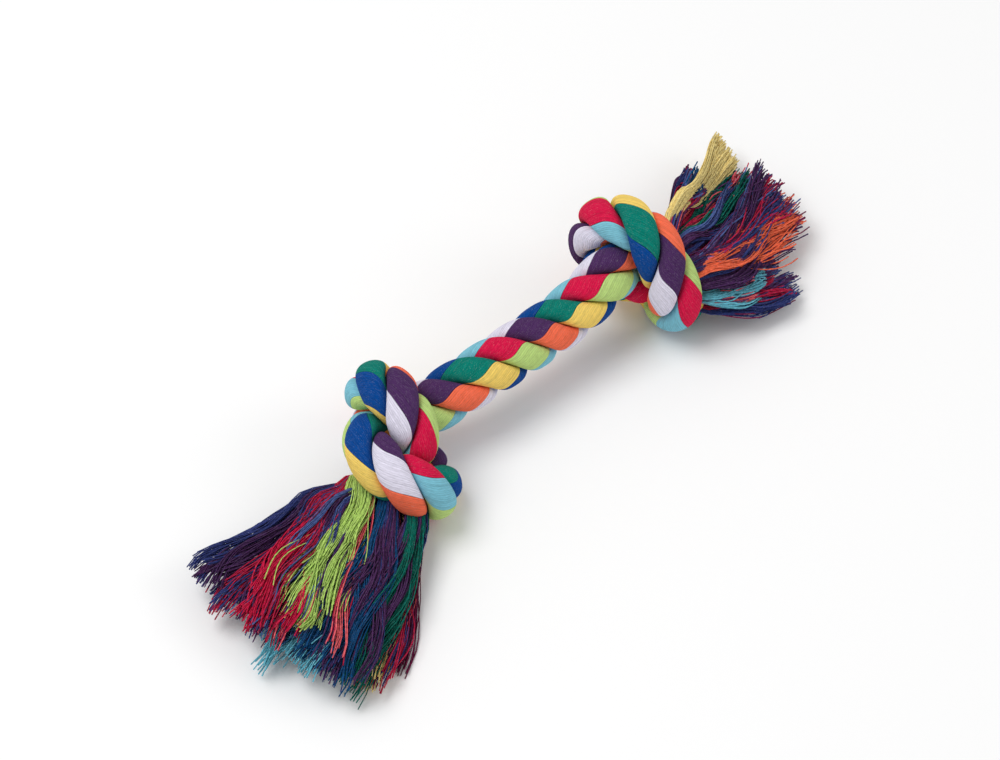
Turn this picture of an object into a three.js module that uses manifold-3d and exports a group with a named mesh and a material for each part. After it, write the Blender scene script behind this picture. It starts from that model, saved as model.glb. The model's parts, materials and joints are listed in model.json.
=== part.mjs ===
import * as THREE from 'three';
import Module from 'manifold-3d';

// Rope dog toy: one three-strand cotton rope, an overhand knot near each end, the ends combed out
// to tassels. Lengths in millimetres, angles in degrees. The rope lies along X, the floor is z = 0.

// Rope
const ROPE_DIAMETER = 20;
const LAY = 40; // rope length in which a strand goes once round, on the straight span
const LAY_START = 180; // where the first strand lies at mid span, from the top
const YARN_START = 65; // where the first colour lies in its strand at mid span
const STRAND_CENTRE = 0.56; // strand centre from the rope axis, in rope radii
const STRAND_DEPTH = 0.43; // half size of a strand toward the rope axis, in rope radii
const STRAND_WIDTH = 0.52; // half size of a strand around the rope axis, in rope radii

// Knots and span
const KNOT_PACKING = 0.7; // distance between the axes of touching passes, in rope diameters
const KNOT_ARC = 40; // rope length from mid span to where a knot begins
const LEFT_REACH = 53; // from mid span to the middle of the left knot
const RIGHT_REACH = 59.6; // from mid span to the middle of the right knot
const SPAN_HEIGHT = 25; // rope axis above the floor at mid span
const SPAN_STRAIGHT = 32; // straight middle of the span
const BEND_LENGTH = 20; // stretch at mid span that takes up the bend
const FLOOR_FLAT = 2.6; // how much of the underside of a knot is pressed flat
const YARN_RAMPS = [40, 100, 34]; // rope lengths in a knot over which the yarns take their extra turns
const KNOTS = {
  left: {
    centre: [-LEFT_REACH, -2.6],
    roll: 75,
    pitch: -18,
    yaw: 34,
    drawn: [1, 1, 1], // how far it is drawn in along its own axes
    lay: 45.5, // the lay opens where the rope is knotted
    yarnTurn: [0, -182, 34],
    ends: [4, 8], // links left off at the cut end and at the span
  },
  right: {
    centre: [RIGHT_REACH, -0.9],
    roll: 317.4,
    pitch: 30.3,
    yaw: -28.5,
    drawn: [0.98, 1, 0.81],
    lay: 44.1,
    yarnTurn: [-39, -104, -215],
    ends: [7, 5],
  },
};

// Tassels: length to the middle of the tips, heading from +X, height of the tips above the floor,
// spread and thickness there, how far the cut runs askew, how far the strands untwist
const LEFT_TASSEL = 74;
const RIGHT_TASSEL = 53;
const TASSELS = {
  left: { length: LEFT_TASSEL, heading: 203.5, rise: 8.5, width: 104, height: 17, slant: 0.2, unlay: 46 },
  right: { length: RIGHT_TASSEL, heading: 5, rise: 6.5, width: 96, height: 17, slant: 0.25, unlay: 16 },
};
const FAN_OPENING = 0.75; // below 1 the tassel opens more near the knot than at the tips
const LOCKS = 3; // locks that a tuft parts into
const LOCK_DEPTH = 0.35; // depth of the parting between two locks, as a share of the tuft
const RAGGED = 0.12; // how much shorter the cut is between two locks, in steps of the fan

// Clearances and mesh steps
const GAP = 0.3; // between bundles of yarn, and between stretches
const PASS_GAP = 0.9; // between two passes of the rope in a knot
const STATION_STEP = 4;
const PATH_STEP = 1;
const JOIN_STEP = 4;
const OUTER_POINTS = 4; // corners on the round side of a bundle
const FAN_STEPS = 6;

const STRANDS = [
  ['yellow', 'blue', 'green'],
  ['orange', 'white', 'purple'],
  ['lime', 'cyan', 'red'],
];
const COLOURS = {
  yellow: 0xe7ca80,
  blue: 0x14468c,
  green: 0x077c70,
  orange: 0xe66853,
  white: 0xdedae8,
  purple: 0x4e3059,
  lime: 0xa8cc5a,
  cyan: 0x6eb2c6,
  red: 0xd21e4b,
};

const RADIUS = ROPE_DIAMETER / 2;
const UP = new THREE.Vector3(0, 0, 1);
const radians = THREE.MathUtils.degToRad;

// Points at equal distances along a polyline.
function evenly(points, count) {
  const along = [0];
  for (let i = 1; i < points.length; i += 1) {
    along.push(along[i - 1] + points[i].distanceTo(points[i - 1]));
  }
  const total = along[along.length - 1];
  const result = [];
  let k = 0;
  for (let i = 0; i < count; i += 1) {
    const want = (total * i) / (count - 1);
    while (k < points.length - 2 && along[k + 1] < want) {
      k += 1;
    }
    const share = (want - along[k]) / (along[k + 1] - along[k]);
    result.push(points[k].clone().lerp(points[k + 1], share));
  }
  return { points: result, total };
}

// A loose overhand knot along X in a cord of diameter 1: three polynomials give its three crossings.
function looseKnot(links, link) {
  const curve = [];
  for (let i = 0; i < 400; i += 1) {
    const t = -2.15 + (4.3 * i) / 399;
    curve.push(new THREE.Vector3(t ** 3 - 3 * t, 4 * t ** 2 - t ** 4, 0.18 * (t ** 5 - 10 * t)));
  }
  const even = evenly(curve, links + 1).points;
  let length = 0;
  for (let i = 0; i < links; i += 1) {
    length += even[i].distanceTo(even[i + 1]);
  }
  const middle = new THREE.Vector3();
  even.forEach((point) => middle.addScaledVector(point, 1 / even.length));
  return even.map((point) => point.sub(middle).multiplyScalar((links * link) / length));
}

// The loose knot drawn tight by its ends: links keep their length, the cord resists bending, and
// passes push each other apart until they only touch.
function tightKnot() {
  const links = 56;
  const link = 0.25;
  const near = 6;
  const place = looseKnot(links, link);
  const speed = place.map(() => new THREE.Vector3());
  const force = place.map(() => new THREE.Vector3());
  const way = new THREE.Vector3();
  const last = links;
  for (let round = 0; round < 4000; round += 1) {
    force.forEach((f) => f.set(0, 0, 0));
    force[0].x -= 0.5;
    force[last].x += 0.5;
    for (const i of [0, 1, last - 1, last]) {
      force[i].y -= 2 * place[i].y;
      force[i].z -= 2 * place[i].z;
    }
    for (let i = 0; i < last; i += 1) {
      way.subVectors(place[i + 1], place[i]);
      const length = way.length();
      way.multiplyScalar((60 * (length - link)) / length);
      force[i].add(way);
      force[i + 1].sub(way);
    }
    for (let i = 1; i < last; i += 1) {
      way.addVectors(place[i - 1], place[i + 1]).addScaledVector(place[i], -2);
      way.multiplyScalar(0.03 / link ** 3);
      force[i - 1].sub(way);
      force[i].addScaledVector(way, 2);
      force[i + 1].sub(way);
    }
    for (let i = 0; i <= last; i += 1) {
      for (let j = i + near; j <= last; j += 1) {
        way.subVectors(place[i], place[j]);
        const distance = way.length();
        if (distance < 1) {
          way.multiplyScalar((60 * (1 - distance)) / distance);
          force[i].add(way);
          force[j].sub(way);
        }
      }
    }
    let fastest = 1e-9;
    for (let i = 0; i <= last; i += 1) {
      speed[i].addScaledVector(force[i], 0.05).multiplyScalar(0.92);
      fastest = Math.max(fastest, Math.abs(speed[i].x), Math.abs(speed[i].y), Math.abs(speed[i].z));
    }
    const step = 0.05 * Math.min(1, 0.6 / fastest);
    for (let i = 0; i <= last; i += 1) {
      place[i].addScaledVector(speed[i], step);
    }
  }
  return place;
}

// The tight knot at rope size, turned as it lies, with its lowest pass pressed on the floor.
function placedKnot(knot, spec) {
  const size = ROPE_DIAMETER * KNOT_PACKING;
  const drawn = new THREE.Vector3(...spec.drawn);
  const points = knot.map((point) => point.clone().multiplyScalar(size).multiply(drawn)
    .applyAxisAngle(new THREE.Vector3(1, 0, 0), radians(spec.roll))
    .applyAxisAngle(new THREE.Vector3(0, 1, 0), radians(spec.pitch))
    .applyAxisAngle(UP, radians(spec.yaw)));
  const lowest = Math.min(...points.slice(4, -4).map((point) => point.z));
  const shift = new THREE.Vector3(spec.centre[0], spec.centre[1], RADIUS - FLOOR_FLAT - lowest);
  points.forEach((point) => point.add(shift));
  return points.slice(spec.ends[0], points.length - spec.ends[1]);
}

// Points between two ends with given directions on a smooth curve.
function joinCurve(from, fromWay, to, toWay) {
  const reach = from.distanceTo(to);
  const start = fromWay.clone().setLength(reach);
  const end = toWay.clone().setLength(reach);
  const steps = Math.max(2, Math.floor(reach / JOIN_STEP));
  const points = [];
  for (let i = 1; i < steps; i += 1) {
    const t = i / steps;
    const h = 2 * t ** 3 - 3 * t ** 2 + 1;
    points.push(from.clone().multiplyScalar(h)
      .addScaledVector(start, t ** 3 - 2 * t ** 2 + t)
      .addScaledVector(to, 1 - h)
      .addScaledVector(end, t ** 3 - t ** 2));
  }
  return points;
}

// The rope axis from the left cut end to the right one, with a frame that doesn't twist and the
// rope length measured from mid span.
function ropeAxis() {
  const knot = tightKnot();
  const left = placedKnot(knot, KNOTS.left);
  const right = placedKnot(knot, KNOTS.right);
  const middle = [];
  for (let i = -2; i <= 2; i += 1) {
    middle.push(new THREE.Vector3((SPAN_STRAIGHT * i) / 4, 0, SPAN_HEIGHT));
  }
  const along = new THREE.Vector3(1, 0, 0);
  const out = left[left.length - 1];
  const leftJoin = joinCurve(out, out.clone().sub(left[left.length - 2]), middle[0], along);
  const rightJoin = joinCurve(middle[4], along, right[0], right[1].clone().sub(right[0]));
  const corners = [...left, ...leftJoin, ...middle, ...rightJoin, ...right];
  const curve = new THREE.CatmullRomCurve3(corners, false, 'catmullrom', 0.5);
  const fine = curve.getPoints((corners.length - 1) * 12);
  const rough = evenly(fine, 2).total;
  const { points, total } = evenly(fine, Math.round(rough / PATH_STEP) + 1);
  const step = total / (points.length - 1);

  const count = points.length;
  const tangent = points.map((point, i) => points[Math.min(i + 1, count - 1)].clone()
    .sub(points[Math.max(i - 1, 0)]).normalize());
  let home = 0;
  const centre = middle[2];
  points.forEach((point, i) => {
    if (point.distanceTo(centre) < points[home].distanceTo(centre)) {
      home = i;
    }
  });
  const normal = [];
  normal[home] = UP.clone();
  const carry = (i, before) => {
    normal[i] = normal[before].clone().addScaledVector(tangent[i], -normal[before].dot(tangent[i]));
    normal[i].normalize();
  };
  for (let i = home + 1; i < count; i += 1) {
    carry(i, i - 1);
  }
  for (let i = home - 1; i >= 0; i -= 1) {
    carry(i, i + 1);
  }
  return { points, tangent, normal, step, home, start: -home * step, end: (count - 1 - home) * step };
}

// Place and frame on the rope axis at a rope length from mid span.
function frameAt(axis, s) {
  const at = THREE.MathUtils.clamp(s / axis.step + axis.home, 0, axis.points.length - 1);
  const i = Math.min(Math.floor(at), axis.points.length - 2);
  const share = at - i;
  const tangent = axis.tangent[i].clone().lerp(axis.tangent[i + 1], share).normalize();
  const normal = axis.normal[i].clone().lerp(axis.normal[i + 1], share);
  normal.addScaledVector(tangent, -normal.dot(tangent)).normalize();
  return {
    centre: axis.points[i].clone().lerp(axis.points[i + 1], share),
    tangent,
    normal,
    side: tangent.clone().cross(normal),
  };
}

// Turns of the lay between mid span and s.
function layTurns(s) {
  const plain = Math.min(Math.abs(s), KNOT_ARC);
  const lay = s < 0 ? KNOTS.left.lay : KNOTS.right.lay;
  return Math.sign(s) * (plain / LAY + (Math.abs(s) - plain) / lay);
}

// Extra turn of the yarns in their strands inside a knot, in radians.
function yarnTurn(s) {
  const turn = s < 0 ? KNOTS.left.yarnTurn : KNOTS.right.yarnTurn;
  let from = KNOT_ARC;
  let sum = 0;
  YARN_RAMPS.forEach((ramp, i) => {
    sum += turn[i] * THREE.MathUtils.clamp((Math.abs(s) - from) / ramp, 0, 1);
    from += ramp;
  });
  return Math.sign(s) * radians(sum);
}

// Half-way planes to the other passes that come near the rope at s.
function neighbours(axis, s, centre) {
  const planes = [];
  axis.points.forEach((point, i) => {
    const other = (i - axis.home) * axis.step;
    const distance = point.distanceTo(centre);
    if (Math.abs(other - s) > 1.1 * ROPE_DIAMETER && distance < 2.2 * ROPE_DIAMETER) {
      const way = point.clone().sub(centre).divideScalar(distance);
      planes.push({ way, half: (distance - PASS_GAP) / 2 });
    }
  });
  return planes;
}

// Share by which the rope is squeezed in a direction so that it stays on its side of those planes.
function squeeze(planes, way) {
  let room = 10 * RADIUS;
  for (const plane of planes) {
    const toward = way.dot(plane.way);
    if (toward > 0.001) {
      room = Math.min(room, plane.half / toward);
    }
  }
  return (1 + (RADIUS / room) ** 10) ** -0.1;
}

// Corners of one bundle of yarn across the rope at s: one at the strand centre, the rest outside.
function bundleCorners(axis, s, strand, colour, outerPoints) {
  const frame = frameAt(axis, s);
  const planes = neighbours(axis, s, frame.centre);
  const lie = radians(LAY_START) + 2 * Math.PI * (strand / 3 + layTurns(s));
  const first = radians(YARN_START) + yarnTurn(s) - 2 * lie + (2 * Math.PI * colour) / 3;
  const edge = GAP / 2 / (STRAND_DEPTH * RADIUS);
  const inset = Math.asin(edge);
  const polar = [[first + Math.PI / 3, edge / Math.sin(Math.PI / 3)]];
  for (let i = 0; i < outerPoints; i += 1) {
    const share = i / (outerPoints - 1);
    polar.push([first + inset + share * ((2 * Math.PI) / 3 - 2 * inset), 1]);
  }
  return polar.map(([angle, reach]) => {
    const out = RADIUS * (STRAND_CENTRE + STRAND_DEPTH * reach * Math.cos(angle));
    const round = RADIUS * STRAND_WIDTH * reach * Math.sin(angle);
    const way = new THREE.Vector3()
      .addScaledVector(frame.normal, out * Math.cos(lie) - round * Math.sin(lie))
      .addScaledVector(frame.side, out * Math.sin(lie) + round * Math.cos(lie));
    const reachNow = way.length();
    way.divideScalar(reachNow);
    return frame.centre.clone().addScaledVector(way, reachNow * squeeze(planes, way));
  });
}

// Closed body through rings of corners. Flat sides of a bundle are split the same way on both
// bundles that face each other there, round sides along the shorter diagonal.
function sweep(rings) {
  const size = rings[0].length;
  const triangles = [];
  const at = (i, k) => i * size + (k % size);
  for (let i = 0; i + 1 < rings.length; i += 1) {
    for (let k = 0; k < size; k += 1) {
      const a = at(i, k);
      const b = at(i, k + 1);
      const c = at(i + 1, k + 1);
      const d = at(i + 1, k);
      const next = (k + 1) % size;
      const shortAC = rings[i][k].distanceTo(rings[i + 1][next]) < rings[i][next].distanceTo(rings[i + 1][k]);
      const splitAC = k === 0 || (k < size - 1 && shortAC);
      if (splitAC) {
        triangles.push([a, b, c], [a, c, d]);
      } else {
        triangles.push([a, b, d], [b, c, d]);
      }
    }
  }
  const top = rings.length - 1;
  for (let k = 1; k + 1 < size; k += 1) {
    triangles.push([at(0, 0), at(0, k + 1), at(0, k)]);
    triangles.push([at(top, 0), at(top, k), at(top, k + 1)]);
  }
  const points = rings.flat();
  let volume = 0;
  for (const [a, b, c] of triangles) {
    volume += points[a].dot(points[b].clone().cross(points[c]));
  }
  const outward = volume > 0 ? triangles : triangles.map(([a, b, c]) => [a, c, b]);
  return { points, triangles: outward };
}

// Rings of a bundle over a stretch of rope.
function stretchRings(axis, from, to, strand, colour) {
  const steps = Math.max(1, Math.round((to - from) / STATION_STEP));
  const rings = [];
  for (let i = 0; i <= steps; i += 1) {
    rings.push(bundleCorners(axis, from + ((to - from) * i) / steps, strand, colour, OUTER_POINTS));
  }
  return rings;
}

// Rings of a combed-out tuft: the end of a bundle carried on to the tips. On the way the strands
// untwist, the section spreads sideways, and the tuft parts into locks with a ragged cut.
function tuftRings(axis, side, strand, colour) {
  const spec = TASSELS[side];
  const sign = side === 'left' ? -1 : 1;
  const s = side === 'left' ? axis.start : axis.end;
  const frame = frameAt(axis, s);
  const away = frame.tangent.clone().multiplyScalar(sign);
  const root = frame.centre.clone().addScaledVector(away, GAP);
  const heading = radians(spec.heading);
  const level = new THREE.Vector3(Math.cos(heading), Math.sin(heading), 0);
  const tip = root.clone().setZ(spec.rise).addScaledVector(level, spec.length);
  const reach = root.distanceTo(tip);
  const sideways = UP.clone().cross(away).normalize();
  const upward = away.clone().cross(sideways);
  const offsets = bundleCorners(axis, s, strand, colour, 3 * LOCKS + 1).map((corner) => {
    const way = corner.sub(frame.centre);
    return [way.dot(sideways), way.dot(upward)];
  });
  const parting = (k) => k > 1 && k < offsets.length - 1 && (k - 1) % 3 === 0;
  const ringAt = (t) => {
    const h = 2 * t ** 3 - 3 * t ** 2 + 1;
    const centre = root.clone().multiplyScalar(h)
      .addScaledVector(away, reach * (t ** 3 - 2 * t ** 2 + t))
      .addScaledVector(tip, 1 - h)
      .addScaledVector(level, reach * (t ** 3 - t ** 2));
    const forward = away.clone().lerp(level, t).normalize();
    const across = UP.clone().cross(forward).normalize();
    const rise = forward.clone().cross(across);
    const wide = 1 + (spec.width / ROPE_DIAMETER - 1) * t ** FAN_OPENING;
    const high = 1 + (spec.height / ROPE_DIAMETER - 1) * t;
    const untwist = radians(spec.unlay) * Math.min(1, (t * FAN_STEPS) / (FAN_STEPS - 1));
    return offsets.map(([u, v], k) => {
      const inward = parting(k) ? LOCK_DEPTH * Math.min(1, 2 * t) : 0;
      const x = u + (offsets[0][0] - u) * inward;
      const y = v + (offsets[0][1] - v) * inward;
      const aside = wide * (x * Math.cos(untwist) + y * Math.sin(untwist));
      const above = high * (y * Math.cos(untwist) - x * Math.sin(untwist));
      return centre.clone().addScaledVector(across, aside).addScaledVector(rise, above)
        .addScaledVector(forward, aside * spec.slant * t);
    });
  };
  const rings = [];
  for (let i = 0; i <= FAN_STEPS; i += 1) {
    rings.push(ringAt(i / FAN_STEPS));
  }
  const cut = 0.55 + 0.1 * ((3 * strand + colour * 4) % 5);
  const last = rings[FAN_STEPS];
  last.forEach((corner, k) => {
    const share = parting(k) ? cut - RAGGED : cut;
    corner.lerpVectors(rings[FAN_STEPS - 1][k], corner.clone(), share);
  });
  return rings;
}

const wasm = await Module();
wasm.setup();

// The body as a buffer geometry, with what reaches below the floor cut off flat.
function bodyGeometry({ points, triangles }) {
  let coordinates = Float32Array.from(points.flatMap((point) => point.toArray()));
  let corners = Uint32Array.from(triangles.flat());
  if (points.some((point) => point.z < 0)) {
    const mesh = new wasm.Mesh({ numProp: 3, vertProperties: coordinates, triVerts: corners });
    const body = new wasm.Manifold(mesh).trimByPlane([0, 0, 1], 0).getMesh();
    coordinates = body.vertProperties;
    corners = body.triVerts;
  }
  const geometry = new THREE.BufferGeometry();
  geometry.setAttribute('position', new THREE.BufferAttribute(coordinates, 3));
  geometry.setIndex(new THREE.BufferAttribute(corners, 1));
  geometry.computeVertexNormals();
  return geometry;
}

const toy = new THREE.Group();
toy.name = 'rope_dog_toy';

function addPiece(name, colour, rings) {
  const material = new THREE.MeshStandardMaterial({ color: COLOURS[colour], roughness: 0.9 });
  const mesh = new THREE.Mesh(bodyGeometry(sweep(rings)), material);
  mesh.name = name;
  toy.add(mesh);
}

const axis = ropeAxis();
const bend = BEND_LENGTH / 2;
const stretches = {
  left: [axis.start, -bend - GAP / 2],
  bend: [-bend + GAP / 2, bend - GAP / 2],
  right: [bend + GAP / 2, axis.end],
};
STRANDS.forEach((colours, strand) => {
  colours.forEach((colour, k) => {
    for (const [place, [from, to]] of Object.entries(stretches)) {
      addPiece(`${place}_${colour}_yarns`, colour, stretchRings(axis, from, to, strand, k));
    }
    for (const side of ['left', 'right']) {
      addPiece(`${side}_tuft_${colour}`, colour, tuftRings(axis, side, strand, k));
    }
  });
});

// The origin lies under the middle of the whole toy.
const box = new THREE.Box3().setFromObject(toy);
const middle = box.getCenter(new THREE.Vector3()).setZ(box.min.z);
toy.children.forEach((mesh) => mesh.geometry.translate(-middle.x, -middle.y, -middle.z));
toy.userData.shift = middle.clone().negate();
toy.userData.leftRoot = frameAt(axis, axis.start).centre.sub(middle);
toy.userData.rightRoot = frameAt(axis, axis.end).centre.sub(middle);

export default toy;
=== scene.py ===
# %% [markdown]
# # A knotted rope toy for dogs
#
# The toy is one soft cotton rope. Three strands are laid round each other, and each strand holds three
# colours of yarn. The rope is tied in an overhand knot near each end, and what sticks out of the knots is
# combed out to a tassel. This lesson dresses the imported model: it sweeps the nine bundles of coloured yarn
# along the rope, and it combs out the tassels yarn by yarn.

import json
import math

import bmesh
import bpy
import numpy as np
from mathutils import Matrix, Vector


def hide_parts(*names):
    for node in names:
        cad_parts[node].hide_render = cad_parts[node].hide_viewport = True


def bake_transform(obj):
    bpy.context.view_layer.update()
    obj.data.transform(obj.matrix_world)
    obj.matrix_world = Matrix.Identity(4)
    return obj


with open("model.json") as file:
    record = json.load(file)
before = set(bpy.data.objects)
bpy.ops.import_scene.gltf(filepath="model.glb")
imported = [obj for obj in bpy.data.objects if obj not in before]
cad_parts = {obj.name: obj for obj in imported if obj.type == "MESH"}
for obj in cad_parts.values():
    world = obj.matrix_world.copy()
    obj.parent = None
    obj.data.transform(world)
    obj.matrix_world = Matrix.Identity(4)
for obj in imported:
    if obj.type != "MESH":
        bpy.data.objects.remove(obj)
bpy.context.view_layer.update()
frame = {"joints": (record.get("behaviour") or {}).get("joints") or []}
scene = bpy.context.scene
scene.view_settings.view_transform = "Standard"
joints = {joint["name"]: joint for joint in frame["joints"]}

# %% [markdown]
# ## The camera
#
# The picture looks down on the toy from its near left side with almost no perspective, so a long lens
# stands far off. The middle of the span is a little right of and above the middle of the picture. Its
# place comes from the hinge that bends the rope there.

# %% Camera
MM = 0.001
AZIMUTH = math.radians(-40)
ELEVATION = math.radians(52)
PICTURE_WIDTH = 345 * MM  # what the picture takes in at the toy
PICTURE_PIXELS = 1000
SPAN_PIXEL = (15.5, 29)  # mid span right of and above the picture's middle
LENS = 200
SENSOR = 36

mid_span = np.array(joints["rope_bend"]["pos_m"])
back = np.array([
    math.sin(AZIMUTH) * math.cos(ELEVATION),
    -math.cos(AZIMUTH) * math.cos(ELEVATION),
    math.sin(ELEVATION),
])
right = np.array([math.cos(AZIMUTH), math.sin(AZIMUTH), 0])
above = np.cross(back, right)
pixel = PICTURE_WIDTH / PICTURE_PIXELS
target = mid_span - pixel * (SPAN_PIXEL[0] * right + SPAN_PIXEL[1] * above)

camera = bpy.data.objects.new("camera", bpy.data.cameras.new("camera"))
camera.data.lens = LENS
camera.data.sensor_width = SENSOR
camera.location = target + back * PICTURE_WIDTH * LENS / SENSOR
camera.rotation_euler = Vector(-back).to_track_quat("-Z", "Y").to_euler()
scene.collection.objects.link(camera)
scene.camera = camera
print("camera", [round(x, 3) for x in camera.location])

# %% [markdown]
# ## The route of the rope
#
# An overhand knot can't be drawn by hand well. Three short polynomials give a loose one, and a small
# simulation pulls it tight: links keep their length, the cord resists bending, and passes push each other
# apart. The result is scaled, turned and set down where each knot lies. All of it is in millimetres from a
# point on the floor under mid span, as in the solids.

# %% Sizes of the rope
ROPE_DIAMETER = 20
RADIUS = ROPE_DIAMETER / 2
KNOT_PACKING = 0.7  # distance between the axes of touching passes, in rope diameters
KNOT_ARC = 40  # rope length from mid span to where a knot begins
SPAN_HEIGHT = 25
SPAN_STRAIGHT = 32
FLOOR_FLAT = 2.6  # how much the floor flattens the knots
FREE_LINKS = 4  # at each end, links that don't count when a knot is set on the floor
JOIN_STEP = 4
PATH_STEP = 1
YARN_RAMPS = (40, 100, 34)  # rope lengths in a knot over which the yarns take their extra turns
# Turns are degrees about X, Y and Z. Drawn is a stretch along the knot's own axes, lay is the rope
# length of a turn inside the knot, yarn_turn is degrees over each ramp, and ends are links left off.
KNOTS = {
    "left": {
        "centre": (-53, -2.6),
        "turns": (75, -18, 34),
        "drawn": (1, 1, 1),
        "lay": 45.5,
        "yarn_turn": (0, -182, 34),
        "ends": (4, 8),
    },
    "right": {
        "centre": (59.6, -0.9),
        "turns": (317.4, 30.3, -28.5),
        "drawn": (0.98, 1, 0.81),
        "lay": 44.1,
        "yarn_turn": (-39, -104, -215),
        "ends": (7, 5),
    },
}
origin = mid_span / MM - (0, 0, SPAN_HEIGHT)


# %% Helpers for lines of points
def unit(vectors):
    return vectors / np.linalg.norm(vectors, axis=-1, keepdims=True)


def line_length(points):
    return np.linalg.norm(np.diff(points, axis=0), axis=1).sum()


def evenly(points, count):
    """The line of points again, with count points at equal distances."""
    steps = np.linalg.norm(np.diff(points, axis=0), axis=1)
    along = np.concatenate([[0], np.cumsum(steps)])
    wanted = np.linspace(0, along[-1], count)
    return np.stack([np.interp(wanted, along, points[:, k]) for k in range(3)], axis=1)


def turned(points, axis, degrees):
    """Points turned about the X, Y or Z axis."""
    return points @ np.array(Matrix.Rotation(math.radians(degrees), 3, axis)).T


# %% A tight overhand knot in a cord of diameter 1
LINKS = 56
LINK = 0.25
NEAR = 6  # links this far along the cord can touch
LOOSE_REACH = 2.15  # how far the polynomials run to either side
LOOSE_POINTS = 400
LOOSE_DEPTH = 0.18
END_PULL = 0.5
GUIDE = 2  # how firmly the ends are kept on the line of the pull
SPRING = 60  # of a link, and between passes that touch
BENDING = 0.03
DAMPING = 0.92
TIME_STEP = 0.05
TOP_SPEED = 0.6
ROUNDS = 4000


def tight_knot():
    t = np.linspace(-LOOSE_REACH, LOOSE_REACH, LOOSE_POINTS)
    loose = np.stack([t**3 - 3 * t, 4 * t**2 - t**4, LOOSE_DEPTH * (t**5 - 10 * t)], axis=1)
    place = evenly(loose, LINKS + 1)
    place = (place - place.mean(axis=0)) * LINKS * LINK / line_length(place)
    speed = np.zeros_like(place)
    first, second = np.triu_indices(LINKS + 1, NEAR)
    ends = [0, 1, LINKS - 1, LINKS]
    for _ in range(ROUNDS):
        force = np.zeros_like(place)
        force[0, 0] -= END_PULL
        force[-1, 0] += END_PULL
        force[ends, 1:] -= GUIDE * place[ends, 1:]
        way = np.diff(place, axis=0)
        size = np.linalg.norm(way, axis=1, keepdims=True)
        pull = SPRING * (size - LINK) / size * way
        force[:-1] += pull
        force[1:] -= pull
        bend = (place[:-2] - 2 * place[1:-1] + place[2:]) * BENDING / LINK**3
        force[:-2] -= bend
        force[1:-1] += 2 * bend
        force[2:] -= bend
        apart = place[first] - place[second]
        distance = np.linalg.norm(apart, axis=1)
        hit = distance < 1
        push = (SPRING * (1 - distance[hit]) / distance[hit])[:, None] * apart[hit]
        np.add.at(force, first[hit], push)
        np.add.at(force, second[hit], -push)
        speed = DAMPING * (speed + TIME_STEP * force)
        place = place + TIME_STEP * min(1, TOP_SPEED / max(np.abs(speed).max(), 1e-9)) * speed
    return place


knot = tight_knot()
print("knot", np.ptp(knot, axis=0).round(2), "diameters")


# %% The rope axis
def placed_knot(spec):
    points = knot * ROPE_DIAMETER * KNOT_PACKING * np.array(spec["drawn"])
    for axis, angle in zip("XYZ", spec["turns"]):
        points = turned(points, axis, angle)
    lowest = points[FREE_LINKS:-FREE_LINKS, 2].min()
    points = points + [*spec["centre"], RADIUS - FLOOR_FLAT - lowest]
    return points[spec["ends"][0] : len(points) - spec["ends"][1]]


def join_curve(start, start_way, end, end_way):
    reach = np.linalg.norm(end - start)
    steps = max(2, int(reach / JOIN_STEP))
    t = (np.arange(1, steps) / steps)[:, None]
    h = 2 * t**3 - 3 * t**2 + 1
    bow = (t**3 - 2 * t**2 + t) * unit(start_way) + (t**3 - t**2) * unit(end_way)
    return h * start + (1 - h) * end + reach * bow


def smooth_line(corners, steps=12):
    """A Catmull-Rom curve through the corners."""
    more = np.vstack([2 * corners[0] - corners[1], corners, 2 * corners[-1] - corners[-2]])
    a, b, c, d = more[:-3], more[1:-2], more[2:-1], more[3:]
    t = (np.arange(steps) / steps)[:, None, None]
    curve = 2 * b + (c - a) * t + (2 * a - 5 * b + 4 * c - d) * t**2 + (3 * b - a - 3 * c + d) * t**3
    return np.vstack([curve.transpose(1, 0, 2).reshape(-1, 3) / 2, corners[-1:]])


left_knot = placed_knot(KNOTS["left"])
right_knot = placed_knot(KNOTS["right"])
span = np.array([[SPAN_STRAIGHT * i / 4, 0, SPAN_HEIGHT] for i in range(-2, 3)])
along_x = np.array([1, 0, 0])
left_join = join_curve(left_knot[-1], left_knot[-1] - left_knot[-2], span[0], along_x)
right_join = join_curve(span[-1], along_x, right_knot[0], right_knot[1] - right_knot[0])
rough = smooth_line(np.vstack([left_knot, left_join, span, right_join, right_knot]))
axis_points = evenly(rough, round(line_length(rough) / PATH_STEP) + 1)
axis_tangent = unit(np.gradient(axis_points, axis=0))
home = int(np.linalg.norm(axis_points - span[2], axis=1).argmin())
axis_s = (np.arange(len(axis_points)) - home) * line_length(axis_points) / (len(axis_points) - 1)
axis_normal = np.zeros_like(axis_points)
axis_normal[home] = (0, 0, 1)
outward = [(i, i - 1) for i in range(home + 1, len(axis_points))]
inward = [(i, i + 1) for i in range(home - 1, -1, -1)]
for i, before in outward + inward:
    carried = axis_normal[before] - axis_tangent[i] * (axis_normal[before] @ axis_tangent[i])
    axis_normal[i] = unit(carried)
print("rope axis", line_length(axis_points).round(1), "mm, from", axis_s[[0, -1]].round(1))

# %% [markdown]
# ## Across the rope
#
# Each strand is an oval that its two neighbours flatten, and a bundle of one colour is a third of that
# oval. Strands turn round the rope with the lay. Yarns turn back inside their strand, which makes the
# slanted colour blocks. Where passes press on each other in a knot, the rope is squeezed to half the
# distance between them.

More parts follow.
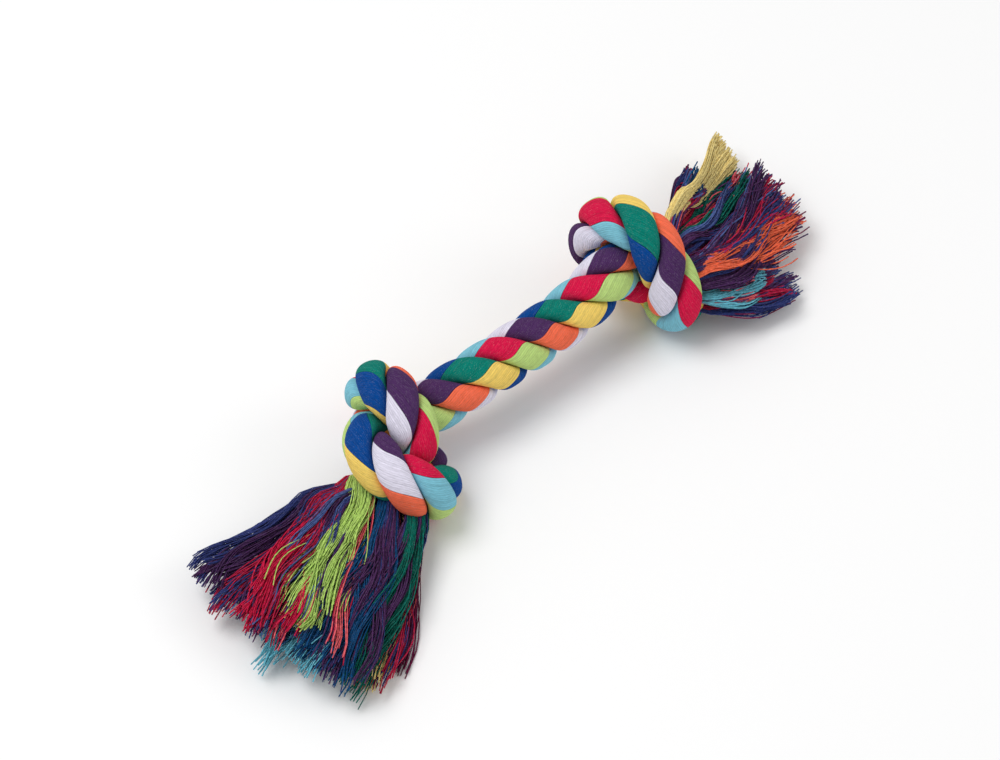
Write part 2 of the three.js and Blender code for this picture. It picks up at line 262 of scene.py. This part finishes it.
# %% Sizes across the rope
LAY = 40
LAY_START = math.radians(180)
YARN_START = math.radians(65)
STRAND_CENTRE = 0.53  # in rope radii, as the next three
STRAND_DEPTH = 0.47
STRAND_WIDTH = 0.64
STRAND_GAP = 0.006
STRAND_HARDNESS = 10  # how sharply strands flatten each other
SIDE_OUT = 0.5  # the next strand's side slants by 60 degrees: its cosine and sine
SIDE_ROUND = math.sqrt(0.75)
PASS_GAP = 0.3
PASS_HARDNESS = 9  # how sharply passes of the rope flatten each other
SAME_PASS = 1.1 * ROPE_DIAMETER  # rope this near along its length is the same pass
PASS_SEARCH = 2.2 * ROPE_DIAMETER
FLOOR_TOUCH = 0.15  # height at which the rope and the yarns rest
SECTOR = 2 * math.pi / 3  # the angle that a bundle takes up in its strand
STRANDS = (("yellow", "blue", "green"), ("orange", "white", "purple"), ("lime", "cyan", "red"))


# %% Place and frame along the rope
def along_rope(values, s):
    return np.stack([np.interp(s, axis_s, values[:, k]) for k in range(3)], axis=-1)


def rope_frame(s):
    tangent = unit(along_rope(axis_tangent, s))
    normal = along_rope(axis_normal, s)
    normal = unit(normal - tangent * (normal * tangent).sum(axis=-1, keepdims=True))
    return along_rope(axis_points, s), tangent, normal, np.cross(tangent, normal)


def lay_angle(s, strand):
    plain = np.minimum(np.abs(s), KNOT_ARC)
    knot_lay = np.where(s < 0, KNOTS["left"]["lay"], KNOTS["right"]["lay"])
    turns = np.sign(s) * (plain / LAY + (np.abs(s) - plain) / knot_lay)
    return LAY_START + 2 * math.pi * (strand / 3 + turns)


def yarn_angle(s, strand, colour):
    """Where a bundle starts in its strand, from the direction out of the rope."""
    extra = np.zeros_like(s)
    for side, sign in (("left", -1), ("right", 1)):
        start = KNOT_ARC
        for turn, ramp in zip(KNOTS[side]["yarn_turn"], YARN_RAMPS):
            extra = extra + sign * math.radians(turn) * np.clip((sign * s - start) / ramp, 0, 1)
            start += ramp
    return YARN_START + extra - 2 * lay_angle(s, strand) + SECTOR * colour


# %% The section of a bundle
def strand_limit(angle):
    """Share of the oval's radius at which the next strand stops it."""
    out = STRAND_DEPTH * np.cos(angle)
    round_ = STRAND_WIDTH * np.abs(np.sin(angle))
    toward = np.maximum(SIDE_OUT * round_ - SIDE_ROUND * out, 1e-6)
    room = (SIDE_ROUND * STRAND_CENTRE - STRAND_GAP) / toward
    return (1 + room**-STRAND_HARDNESS) ** (-1 / STRAND_HARDNESS)


def section_places(s, strand, angle, reach):
    """Offsets from the rope axis in its normal and side directions; s has a row for each station."""
    share = reach * strand_limit(angle)
    out = RADIUS * (STRAND_CENTRE + STRAND_DEPTH * share * np.cos(angle))
    aside = RADIUS * STRAND_WIDTH * share * np.sin(angle)
    lie = lay_angle(s, strand)
    cos, sin = np.cos(lie), np.sin(lie)
    return np.stack([out * cos - aside * sin, out * sin + aside * cos], axis=-1)


def squeezed(s, ways):
    """How much the rope is squeezed at station s in each of some directions."""
    centre = along_rope(axis_points, np.array([s]))[0]
    other = axis_points[np.abs(axis_s - s) > SAME_PASS]
    distance = np.linalg.norm(other - centre, axis=1)
    near = distance < PASS_SEARCH
    if not near.any():
        return np.ones(len(ways))
    toward = np.maximum(ways @ unit(other[near] - centre).T, 0.001)
    room = ((distance[near] - PASS_GAP) / 2 / toward).min(axis=1)
    return (1 + (RADIUS / room) ** PASS_HARDNESS) ** (-1 / PASS_HARDNESS)


def rope_points(s, offsets):
    """Points in space for rows of offsets at stations s, squeezed and set on the floor."""
    centre, _, normal, side = rope_frame(s)
    ways = offsets[..., :1] * normal[:, None] + offsets[..., 1:] * side[:, None]
    reach = np.linalg.norm(ways, axis=-1, keepdims=True)
    share = np.stack([squeezed(at, row) for at, row in zip(s, ways / np.maximum(reach, 1e-9))])
    points = centre[:, None] + ways * share[..., None]
    points[..., 2] = np.maximum(points[..., 2], FLOOR_TOUCH)
    return points


print("rope frame at mid span", [x.round(2).tolist() for x in rope_frame(np.array([0.0]))])

# %% [markdown]
# ## Cotton
#
# The finish has to show soft matte cotton: fine yarns with painted shade in the gaps between them, each a
# shade of its own, a slight twist, and short pale fibres of lint on top. Shader maths reads well as Python
# expressions, so one small class wraps a socket and adds the Math nodes.


# %% A socket that does sums
class Wire:
    """A node's output. Sums with it add Math nodes."""

    def __init__(self, socket):
        self.socket = socket

    def node(self, kind, settings=None, inputs=None, output=0):
        """A new node in the same tree, with its settings first and then its inputs."""
        return make_node(self.socket.id_data, kind, settings, inputs, output)

    def sum(self, operation, *values):
        inputs = dict(enumerate(values))
        return self.node("ShaderNodeMath", {"operation": operation}, inputs)

    def __add__(self, other):
        return self.sum("ADD", self, other)

    __radd__ = __add__

    def __sub__(self, other):
        return self.sum("SUBTRACT", self, other)

    def __rsub__(self, other):
        return self.sum("SUBTRACT", other, self)

    def __mul__(self, other):
        return self.sum("MULTIPLY", self, other)

    __rmul__ = __mul__

    def __pow__(self, other):
        return self.sum("POWER", self, other)

    def __abs__(self):
        return self.sum("ABSOLUTE", self)


def make_node(tree, kind, settings=None, inputs=None, output=0):
    node = tree.nodes.new(kind)
    for name, value in (settings or {}).items():
        setattr(node, name, value)
    for name, value in (inputs or {}).items():
        if isinstance(value, Wire):
            tree.links.new(value.socket, node.inputs[name])
        else:
            node.inputs[name].default_value = value
    return Wire(node.outputs[output])


# %% Dyes
def linear(*rgb):
    """A screen colour of 0 to 255 as the shader's linear colour."""
    share = np.array(rgb) / 255
    return tuple(np.where(share < 0.04045, share / 12.92, ((share + 0.055) / 1.055) ** 2.4))


DYES = {
    "yellow": linear(240, 206, 106),
    "blue": linear(8, 68, 140),
    "green": linear(6, 120, 106),
    "orange": linear(242, 110, 78),
    "white": linear(220, 216, 232),
    "purple": linear(74, 44, 90),
    "lime": linear(184, 212, 126),
    "cyan": linear(124, 190, 208),
    "red": linear(210, 22, 70),
}

# %% Marks on cotton
MAP_LENGTH = 10  # millimetres along to a unit of the map; across, a unit is one yarn
FIBRE_SCALE = (7, 1.5, 1)
STREAK_SCALE = (0.8, 1.4, 1)
LINT_SCALE = (14, 3.5, 1)
LINT_SLANT = 0.5
LINT_RANGE = {"From Min": 0.58, "From Max": 0.74, "To Max": 0.16}
# how narrow the gaps between yarns are, where the colour gets painted shade and the bump dips
GAP_SHARPNESS = 6
ROPE_PLY = (6, 1)  # twists along and across a yarn of the rope, for each unit of the map
LOOSE_PLY = (4, 2)
# how deep the ply grooves of a loose yarn are, and how much painted shade darkens them
LOOSE_GAP = 0.25


def stretched_noise(uv, scale, slant=0, **settings):
    mapped = {"Vector": uv, "Scale": scale, "Rotation": (0, 0, slant)}
    lie = uv.node("ShaderNodeMapping", None, mapped)
    return uv.node("ShaderNodeTexNoise", None, {"Vector": lie, "Scale": 1, **settings})


def twist(along, across, ply):
    """Waves of the ply that a yarn is twisted from."""
    return across.sum("SINE", (along * ply[0] + across * ply[1]) * (2 * math.pi))


def rope_marks(uv, along, across):
    """Painted shade and a dip in the gaps between the rope's yarns, a tone of its own for each yarn, its
    ply, and broad streaks.
    """
    # near 1 at the edges of each yarn: painted shade in the colour and a dip in the bump
    gap_and_shade = (abs(across.sum("FRACT", across) - 0.5) * 2) ** GAP_SHARPNESS
    number = {"W": across.sum("FLOOR", across)}
    lot = uv.node("ShaderNodeTexWhiteNoise", {"noise_dimensions": "1D"}, number)
    streak = stretched_noise(uv, STREAK_SCALE, Detail=2)
    return {"gap_and_shade": gap_and_shade, "lot": lot, "ply": twist(along, across, ROPE_PLY), "streak": streak}


def loose_marks(along, across, fibre):
    """The same for a loose yarn, which has painted shade and a dip only in the grooves between its plies."""
    ply = twist(along, across, LOOSE_PLY)
    # the ply grooves: painted shade in the colour and a dip in the bump
    return {"gap_and_shade": (1 - ply) * LOOSE_GAP, "lot": fibre, "ply": ply, "streak": fibre}


def weighted(start, weights, marks):
    """The start value with each mark added at its weight."""
    for name, weight in weights.items():
        start = start + marks[name] * weight
    return start


# %% The finish of the rope and of loose yarn
SPECULAR = 0.04
SHEEN = 0.025
SHEEN_ROUGHNESS = 0.5
LINT = (0.85, 0.84, 0.82, 1)
DARKEST = 0.38
# the gap mark darkens the colour between yarns and between plies: painted shade there
SHADES = {"lot": 0.14, "fibre": 0.7, "streak": 0.45, "gap_and_shade": -0.24}
HEIGHTS = {"fibre": 0.5, "ply": 0.12, "gap_and_shade": -0.6, "lint": 0.8}
SMOOTHEST = 0.78
ROUGH_FIBRES = {"fibre": 0.3}
BUMP = {"Strength": 0.6, "Distance": 0.25 * MM}


def cotton(name, dye=None):
    """Cotton with the dye given, or with the dye that each loose yarn carries as an attribute."""
    material = bpy.data.materials.new(name)
    material.use_nodes = True
    tree = material.node_tree
    shader = tree.nodes["Principled BSDF"]
    shader.inputs["Specular IOR Level"].default_value = SPECULAR
    shader.inputs["Sheen Weight"].default_value = SHEEN
    shader.inputs["Sheen Roughness"].default_value = SHEEN_ROUGHNESS
    uv = make_node(tree, "ShaderNodeUVMap", {"uv_map": "yarn"})
    along = uv.node("ShaderNodeSeparateXYZ", None, {0: uv}, 0)
    across = uv.node("ShaderNodeSeparateXYZ", None, {0: uv}, 1)
    fibre = stretched_noise(uv, FIBRE_SCALE, Detail=4, Roughness=0.65)
    speck = stretched_noise(uv, LINT_SCALE, LINT_SLANT, Detail=3, Distortion=1.5)
    lint = uv.node("ShaderNodeMapRange", None, {"Value": speck, **LINT_RANGE})
    if dye:
        marks = rope_marks(uv, along, across)
        base = dye
    else:
        marks = loose_marks(along, across, fibre)
        base = uv.node("ShaderNodeAttribute", {"attribute_name": "dye"}, None, "Color")
    marks.update(fibre=fibre, lint=lint)
    # the tone of each yarn, its fibres and streaks, with painted shade in the gaps
    shade = weighted(DARKEST, SHADES, marks)
    toned = uv.node("ShaderNodeVectorMath", {"operation": "SCALE"}, {0: base, "Scale": shade})
    colour = uv.node("ShaderNodeMix", {"data_type": "RGBA"}, {"Factor": lint, 6: toned, 7: LINT}, 2)
    height = weighted(0, HEIGHTS, marks)
    bump = uv.node("ShaderNodeBump", None, {"Height": height, **BUMP}, "Normal")
    tree.links.new(colour.socket, shader.inputs["Base Color"])
    tree.links.new(weighted(SMOOTHEST, ROUGH_FIBRES, marks).socket, shader.inputs["Roughness"])
    tree.links.new(bump.socket, shader.inputs["Normal"])
    return material


loose_cotton = cotton("cotton_loose")
rope_cotton = {colour: cotton("cotton_" + colour, dye) for colour, dye in DYES.items()}
print("materials", len(bpy.data.materials))

# %% [markdown]
# ## The rope
#
# A bundle is a grid rolled up to a tube. The grid's long way follows the yarns, so that each yarn can
# stand up as a small ridge, and its short way goes round the bundle: over the ridges outside, then in to
# the middle of the strand and out again. At both ends the tube closes to a point inside the tassel.

# %% Tubes from grids
WELD = 1e-7  # metres
SLIVER = 1e-8


def rolled_tubes(name, places, uv):
    """Tubes side by side in one mesh: places and uv hold tubes, steps along, columns round."""
    tubes, steps, columns = places.shape[:3]
    grid = bmesh.new()
    for _ in range(tubes):
        bmesh.ops.create_grid(grid, x_segments=columns - 1, y_segments=steps - 1, size=1)
    mesh = bpy.data.meshes.new(name)
    grid.to_mesh(mesh)
    mesh.vertices.foreach_set("co", (places * MM).astype(np.float32).ravel())
    corner = np.zeros(len(mesh.loops), np.int32)
    mesh.loops.foreach_get("vertex_index", corner)
    layer = mesh.uv_layers.new(name="yarn")
    layer.data.foreach_set("uv", uv.reshape(-1, 2)[corner].astype(np.float32).ravel())
    grid.free()
    return mesh


def finished_piece(name, mesh, material):
    """The mesh welded along its seams and at its ends, smooth, facing out, as an object."""
    tube = bmesh.new()
    tube.from_mesh(mesh)
    bmesh.ops.remove_doubles(tube, verts=tube.verts, dist=WELD)
    bmesh.ops.dissolve_degenerate(tube, edges=tube.edges, dist=SLIVER)
    bmesh.ops.recalc_face_normals(tube, faces=tube.faces)
    for face in tube.faces:
        face.smooth = True
    tube.to_mesh(mesh)
    tube.free()
    mesh.materials.append(material)
    piece = bpy.data.objects.new(name, mesh)
    scene.collection.objects.link(piece)
    return piece


# %% Bundles of yarn along the rope
YARNS = 16  # yarns that show across a bundle
YARN_COLUMNS = 4
RIDGE = 0.009  # depth of the gaps between yarns, as a share of a strand
RIDGE_SHARPNESS = 4
FOLD_SHARES = (1, 1, 0.5, 0, 0, 0)  # round the bundle, on the way in to the middle and out again
FOLD_REACHES = (0.93, 0.5, 0.05, 0.5, 0.93)  # out from the middle of the strand on that way
FOLD_YARNS = (0.4, 2, 4, 6, 7.6, 8)  # and how many yarns lie along it
CENTRE_REACH = 0.55  # of a bundle's centre line
BUNDLE_EDGE = 0.006
STATION_STEP = 0.9

stations = np.linspace(axis_s[0], axis_s[-1], round((axis_s[-1] - axis_s[0]) / STATION_STEP) + 1)
outer = np.linspace(0, 1, YARNS * YARN_COLUMNS + 1)
ridges = 1 - RIDGE * np.abs(np.cos(math.pi * YARNS * outer)) ** RIDGE_SHARPNESS
shares = np.concatenate([outer, FOLD_SHARES])
reaches = np.concatenate([ridges, FOLD_REACHES, ridges[:1]])
yarn_numbers = np.concatenate([outer * YARNS, YARNS + np.array(FOLD_YARNS)])


def bundle_tube(strand, colour):
    """Places and map of one bundle, and its centre line."""
    s = stations[:, None]
    first = yarn_angle(s, strand, colour)
    angle = first + SECTOR * (BUNDLE_EDGE + (1 - 2 * BUNDLE_EDGE) * shares)
    places = rope_points(stations, section_places(s, strand, angle, reaches))
    middle = section_places(s, strand, first + SECTOR / 2, np.array([CENTRE_REACH]))
    line = rope_points(stations, middle)[:, 0]
    start, end = (np.repeat(point[None, None], len(shares), 1) for point in line[[0, -1]])
    closed = np.concatenate([start, places, end])
    rope_length = np.concatenate([stations[:1], stations, stations[-1:]])
    uv = np.stack(np.broadcast_arrays(rope_length[:, None] / MAP_LENGTH, yarn_numbers), axis=-1)
    return closed + origin, uv, line + origin


rope = {}
for strand, colours in enumerate(STRANDS):
    for place, colour in enumerate(colours):
        tube, uv, line = bundle_tube(strand, place)
        name = colour + "_bundle"
        piece = finished_piece(name, rolled_tubes(name, tube[None], uv[None]), rope_cotton[colour])
        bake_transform(piece)
        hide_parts(*[f"{part}_{colour}_yarns" for part in ("left", "bend", "right")])
        "cotton_" + colour
        rope[colour] = (piece, line[::2])
        print(name, len(piece.data.polygons), "faces,", round(line_length(line)), "mm")

# %% [markdown]
# ## The tassels
#
# Behind each knot the bundles come apart into loose yarns. Yarns cling together in locks, locks drift
# over each other, and each lock is cut at its own length. Every yarn is a thin tube of a few dozen faces,
# which starts inside the end of its bundle and runs on in the fan that the solids have. Some locks keep
# their bundle's colour, and others mix the dark yarns from the core of the strands.

# %% Sizes of the tassels
# Heading and unlay are degrees, slant is how far the tips run ahead for each step to the side, and the
# rest are millimetres.
TASSELS = {
    "left": {
        "length": 74,
        "heading": 203.5,
        "rise": 8.5,
        "mouth": 34,
        "width": 104,
        "height": 17,
        "slant": 0.2,
        "unlay": 46,
    },
    "right": {
        "length": 53,
        "heading": 5,
        "rise": 6.5,
        "mouth": 40,
        "width": 96,
        "height": 17,
        "slant": 0.25,
        "unlay": 16,
    },
}
FAN_OPENING = 0.9  # below 1, a fan opens most at its knot
UNTWIST = 1.2  # how soon the strands are untwisted
LOCKS = 24
LOCK_YARNS = 16
LOCK_RADIUS = 1.4
LOCK_WAVES = (1.4, 3.4)  # turns along the tassel, and millimetres
YARN_WAVES = (2.6, 1.1)
STRAY_WAVE = 1.6  # how much more a stray yarn waves
STRAY_CLING = 0.4  # and how little it clings to its lock
LOCK_LENGTHS = (0.92, 1.03)  # of the yarns in a lock, as shares of its own
LOCK_TWIST = 3
LOCK_DEPTHS = (0.35, 0.95)  # from the middle of the strand out
DEPTH_SCATTER = 0.12
YARN_STEPS = 16
YARN_SIDES = 3
YARN_RADIUS = 0.25
YARN_SIZES = (0.85, 1.15)  # shares of that radius
ROOT_LENGTH = 9  # how far a yarn reaches back into the rope
SEED = 7
rng = np.random.default_rng(SEED)


# %% How each tuft lies
LONGEST = 1.03  # of the locks in a tuft, as a share of its length


def tuft(mouth=0, tips=0, up=0, spread=1, wave=1, dark=8, dyes=6, stray=0.05, length=1, ragged=0.84):
    """Shifts across at the mouth and at the tips and up, the spread and waves of the locks, how many of
    them are dark and with how many dyes, the share of stray yarns, and the length, with the share of it
    that the shortest lock has."""
    return {
        "mouth": mouth,
        "tips": tips,
        "up": up,
        "spread": spread,
        "wave": wave,
        "dark": dark,
        "dyes": dyes,
        "stray": stray,
        "lengths": (length * ragged, length * LONGEST),
    }


TUFTS = {
    "left": {
        "yellow": tuft(tips=20, up=-3, spread=0.6, dark=12, length=0.86),
        "blue": tuft(mouth=3, tips=-6, up=5, dark=10, dyes=2),
        "green": tuft(mouth=7, tips=-7, up=4, dark=8, dyes=2, length=0.95),
        "orange": tuft(tips=22, up=-2, dark=12, length=0.86),
        "white": tuft(mouth=-16, tips=-6, up=14, wave=0.8, dark=23, dyes=2, length=0.93),
        "purple": tuft(mouth=-14, tips=-6, up=13, dark=16, dyes=4),
        "lime": tuft(
            mouth=8, tips=17, up=6, spread=0.4, wave=0.7, dark=4, stray=0.2, length=0.92, ragged=0.35
        ),
        "cyan": tuft(tips=-2, up=-3, dark=5, length=1.08),
        "red": tuft(mouth=1, tips=16, up=9, spread=0.8, dark=9),
    },
    "right": {
        "yellow": tuft(
            mouth=9, tips=-3, up=8, spread=0.22, wave=0.3, dark=0, stray=0, length=0.95, ragged=0.92
        ),
        "blue": tuft(mouth=18, tips=20, up=2, spread=0.7, dark=20, length=0.5, ragged=0.7),
        "green": tuft(mouth=8, tips=4, up=3, dark=14, length=0.97),
        "orange": tuft(mouth=4, tips=14, up=10, dark=4, length=1.05),
        "white": tuft(tips=4, up=4, dark=24, length=1.06),
        "purple": tuft(tips=14, up=4, dark=8, length=1.05),
        "lime": tuft(mouth=-8, tips=-18, up=-2, dark=24, length=0.8),
        "cyan": tuft(mouth=-10, tips=-10, up=6, spread=0.6, dark=5, length=0.6, ragged=0.7),
        "red": tuft(tips=6, up=6, dark=10, length=1.04),
    },
}
TASSEL_DYES = {
    "yellow": linear(252, 228, 150),
    "blue": linear(14, 76, 126),
    "green": linear(10, 108, 94),
    "orange": linear(244, 110, 76),
    "white": linear(214, 210, 226),
    "purple": linear(74, 42, 88),
    "lime": linear(188, 222, 116),
    "cyan": linear(104, 184, 204),
    "red": linear(212, 24, 72),
}
DARK_DYES = (
    (0.26, linear(82, 46, 94)),
    (0.16, linear(52, 62, 122)),
    (0.26, linear(188, 28, 70)),
    (0.14, linear(82, 102, 162)),
    (0.1, linear(122, 34, 76)),
    (0.08, linear(236, 104, 112)),
)


# %% The fan
def smoothstep(low, high, x):
    t = np.clip((x - low) / (high - low), 0, 1)
    return t * t * (3 - 2 * t)


def rope_end(side):
    """The station at a cut end of the rope, its place, the way out, and the ways across and up."""
    s = axis_s[-1 if side == "right" else 0]
    centre, tangent, _, _ = (x[0] for x in rope_frame(np.array([s])))
    away = tangent * np.sign(s)
    across = unit(np.cross((0, 0, 1), away))
    return s, centre, away, across, np.cross(away, across)


def fan_places(side, u, v, t, drift):
    """Where the point u, v of the rope's end lies at share t of the tassel, drift added."""
    spec = TASSELS[side]
    _, centre, away, _, _ = rope_end(side)
    heading = math.radians(spec["heading"])
    level = np.array([math.cos(heading), math.sin(heading), 0])
    tip = np.array([centre[0], centre[1], spec["rise"]]) + spec["length"] * level
    reach = np.linalg.norm(tip - centre)
    t = t[..., None]
    h = 2 * t**3 - 3 * t**2 + 1
    line = h * centre + (1 - h) * tip + reach * ((t**3 - 2 * t**2 + t) * away + (t**3 - t**2) * level)
    forward = unit(away + (level - away) * t)
    across = unit(np.cross((0, 0, 1), forward))
    rise = np.cross(forward, across)
    wide = (spec["mouth"] + (spec["width"] - spec["mouth"]) * t**FAN_OPENING) / ROPE_DIAMETER
    high = 1 + (spec["height"] / ROPE_DIAMETER - 1) * t
    untwist = math.radians(spec["unlay"]) * np.minimum(1, UNTWIST * t)
    cos, sin = np.cos(untwist), np.sin(untwist)
    aside = wide * (u[..., None] * cos + v[..., None] * sin) + drift[..., :1]
    up = high * (v[..., None] * cos - u[..., None] * sin) + drift[..., 1:]
    return line + across * aside + rise * up + forward * aside * spec["slant"] * t


# %% Loose yarns of a tuft
LEAN = 0.8
SWING = 0.6
UP_SHARE = 0.5  # of a drift across
GATHERED = 0.4  # share of the tassel over which a lock comes together
SETTLED = (-0.15, 0.2)  # shares of the tassel over which a tuft's shifts come in
LOCK_FLAT = 0.7  # height of a lock by its width
LOCK_SIZE = 0.8  # where it starts, in lock radii
LOCK_GAIN = 0.6  # what it gains on the way to its tip


def drifts(count, group, t, waves, amount):
    """Slow waves and a lean to one side, across and up, the same for each group of yarns."""
    drift = np.zeros((*t.shape, 2))
    for k, most in enumerate((amount, UP_SHARE * amount)):
        phase = rng.uniform(0, 2 * math.pi, count)[group][:, None]
        turns = rng.uniform(0.5, 1, count)[group][:, None] * waves
        lean = rng.normal(0, LEAN, count)[group][:, None]
        swing = np.sin(2 * math.pi * turns * t + phase) - np.sin(phase)
        drift[..., k] = most * smoothstep(0, 0.5, t) * (SWING * swing + lean * t)
    return drift


def tuft_lines(side, strand, place, spec):
    """Centre lines of a tuft's yarns, and the lock that each belongs to."""
    count = LOCKS * LOCK_YARNS
    lock = np.repeat(np.arange(LOCKS), LOCK_YARNS)
    end, centre, _, across, rise = rope_end(side)
    share = np.clip((lock + 0.5) / LOCKS + rng.normal(0, 0.5 / LOCKS, count), 0.03, 0.97)
    depth = np.clip(rng.uniform(*LOCK_DEPTHS, LOCKS)[lock] + rng.normal(0, DEPTH_SCATTER, count), 0.1, 1)
    roots = []
    for s in (end - np.sign(end) * ROOT_LENGTH, end):
        station = np.array([[s]])
        angle = yarn_angle(station, strand, place) + SECTOR * share
        roots.append(rope_points(station[0], section_places(station, strand, angle, depth))[0])
    u, v = ((roots[1] - centre) @ way for way in (across, rise))
    lock_u, lock_v = (np.array([x[lock == k].mean() for k in range(LOCKS)])[lock] for x in (u, v))
    lock_u = u.mean() + spec["spread"] * (lock_u - u.mean())

    lengths = rng.uniform(*spec["lengths"], LOCKS)[lock] * rng.uniform(*LOCK_LENGTHS, count)
    t = np.linspace(0, 1, YARN_STEPS - 1) * lengths[:, None]
    stray = rng.uniform(0, 1, count) < spec["stray"]
    cling = smoothstep(0, GATHERED, t) * np.where(stray, STRAY_CLING, 1)[:, None]
    u_now = u[:, None] + (lock_u - u)[:, None] * cling
    v_now = v[:, None] + (lock_v - v)[:, None] * cling
    spot = rng.uniform(0, 2 * math.pi, count)[:, None]
    spot = spot + rng.normal(0, LOCK_TWIST, LOCKS)[lock][:, None] * t
    size = LOCK_RADIUS * np.sqrt(rng.uniform(0, 1, count))[:, None] * (LOCK_SIZE + LOCK_GAIN * t**2)
    drift = drifts(LOCKS, lock, t, *LOCK_WAVES) + drifts(count, np.arange(count), t, *YARN_WAVES)
    drift = spec["wave"] * drift * np.where(stray, STRAY_WAVE, 1)[:, None, None]
    ring = np.stack([np.cos(spot), LOCK_FLAT * np.sin(spot)], axis=-1)
    drift = drift + (cling * size)[..., None] * ring
    settled = smoothstep(*SETTLED, t)
    drift[..., 0] += spec["mouth"] * settled * (1 - t) + spec["tips"] * t
    drift[..., 1] += spec["up"] * settled * (1 - 0.5 * t)
    return np.concatenate([roots[0][:, None], fan_places(side, u_now, v_now, t, drift)], axis=1), lock


MAP_STARTS = 900  # millimetres of yarn among which each loose yarn's map starts


def yarn_tubes(lines):
    """Rings of a thin tube along each line, closed to a point at both ends, and their map."""
    lines = lines.copy()
    lines[..., 2] = np.maximum(lines[..., 2], YARN_RADIUS + FLOOR_TOUCH)
    tangent = unit(np.gradient(lines, axis=1))
    aside = unit(np.cross(tangent, (0, 0, 1)))
    up = np.cross(aside, tangent)
    radius = YARN_RADIUS * rng.uniform(*YARN_SIZES, (len(lines), 1)) * np.ones(lines.shape[1])
    radius[:, 0] = 0
    around = np.linspace(0, 2 * math.pi, YARN_SIDES + 1)
    ring = np.cos(around)[:, None] * aside[..., None, :] + np.sin(around)[:, None] * up[..., None, :]
    places = lines[..., None, :] + radius[..., None, None] * ring
    tips = lines[:, -1:] + YARN_RADIUS * tangent[:, -1:]
    places = np.concatenate([places, np.repeat(tips[..., None, :], YARN_SIDES + 1, 2)], axis=1)
    steps = np.linalg.norm(np.diff(places[..., 0, :], axis=1), axis=-1)
    start = rng.uniform(0, MAP_STARTS, (len(lines), 1))
    along = np.concatenate([start, steps], axis=1).cumsum(axis=1) / MAP_LENGTH
    return places, np.stack(np.broadcast_arrays(along[..., None], around / (2 * math.pi)), axis=-1)


# %% Tufts
SECOND_DYE = 0.25  # share of the yarns in a dark lock that have its second dye
TONES = (0.8, 1.15)


def yarn_dyes(colour, spec, lock):
    """A dye for each yarn of a tuft: its own colour, or in a dark lock one of that lock's two dark dyes."""
    own = np.array(TASSEL_DYES[colour])
    shares, dyes = zip(*DARK_DYES[: spec["dyes"]])
    pairs = rng.choice(len(dyes), (LOCKS, 2), p=np.array(shares) / sum(shares))[lock]
    second = rng.uniform(0, 1, len(lock)) < SECOND_DYE
    core = np.array(dyes)[np.where(second, pairs[:, 1], pairs[:, 0])]
    dark = rng.permutation(LOCKS)[lock] < spec["dark"]
    return np.where(dark[:, None], core, own) * rng.uniform(*TONES, (len(lock), 1))


def paint(mesh, dyes, points_each):
    colours = np.ones((len(dyes), 4))
    colours[:, :3] = dyes
    painted = np.repeat(colours, points_each, axis=0)
    attribute = mesh.attributes.new("dye", "FLOAT_COLOR", "POINT")
    attribute.data.foreach_set("color", painted.astype(np.float32).ravel())


tufts = {colour: [] for colour in DYES}
for side in ("left", "right"):
    for strand, colours in enumerate(STRANDS):
        for place, colour in enumerate(colours):
            spec = TUFTS[side][colour]
            lines, lock = tuft_lines(side, strand, place, spec)
            places, uv = yarn_tubes(lines)
            name = f"{side}_tassel_{colour}"
            mesh = rolled_tubes(name, places + origin, uv)
            paint(mesh, yarn_dyes(colour, spec, lock), places.shape[1] * places.shape[2])
            piece = finished_piece(name, mesh, loose_cotton)
            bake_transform(piece)
            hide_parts(f"{side}_tuft_{colour}")
            "cotton_" + colour
            tufts[colour].append(piece)
    print(side, "tassel", sum(len(p.data.polygons) for c in tufts.values() for p in c), "faces so far")

# %% [markdown]
# ## Nine cords
#
# Each bundle is a bare cord of its own from tassel to tassel, with a tuft at each end. Its length is
# the length of its own winding line.

for colour, (piece, line) in rope.items():
    path = line * MM
    line_length(path)
print("cords", len(rope))

# %% [markdown]
# ## Floor and light
#
# A pale floor, an even white surround and one big soft lamp from above give the flat studio light of the
# picture, at a level where a colour shows about as it was dyed.

# %% Floor
FLOOR_SIZE = 4
FLOOR_WHITE = 0.96
FLOOR_ROUGHNESS = 0.9
FLOOR_SPECULAR = 0.1
floor_mesh = bpy.data.meshes.new("floor")
floor_grid = bmesh.new()
bmesh.ops.create_grid(floor_grid, x_segments=2, y_segments=2, size=FLOOR_SIZE / 2)
floor_grid.to_mesh(floor_mesh)
floor_grid.free()
floor = bpy.data.objects.new("floor", floor_mesh)
scene.collection.objects.link(floor)
floor_paint = bpy.data.materials.new("floor_paint")
floor_paint.use_nodes = True
paper = floor_paint.node_tree.nodes["Principled BSDF"]
paper.inputs["Base Color"].default_value = (FLOOR_WHITE, FLOOR_WHITE, FLOOR_WHITE, 1)
paper.inputs["Roughness"].default_value = FLOOR_ROUGHNESS
paper.inputs["Specular IOR Level"].default_value = FLOOR_SPECULAR
floor_mesh.materials.append(floor_paint)

# %% Light
SURROUND = 0.55
world = bpy.data.worlds.new("surround")
world.use_nodes = True
world.node_tree.nodes["Background"].inputs["Color"].default_value = (1, 1, 1, 1)
world.node_tree.nodes["Background"].inputs["Strength"].default_value = SURROUND
scene.world = world


def soft_lamp(name, place, size, power):
    lamp = bpy.data.lights.new(name, "AREA")
    lamp.shape = "DISK"
    lamp.size = size
    lamp.energy = power
    holder = bpy.data.objects.new(name, lamp)
    holder.location = place
    holder.rotation_euler = (-Vector(place)).to_track_quat("-Z", "Y").to_euler()
    scene.collection.objects.link(holder)


soft_lamp("key", place=(-0.5, 0.35, 1.4), size=0.9, power=12)
soft_lamp("fill", place=(0.9, -0.9, 0.9), size=0.9, power=3)
print("lamps", len(bpy.data.lights))
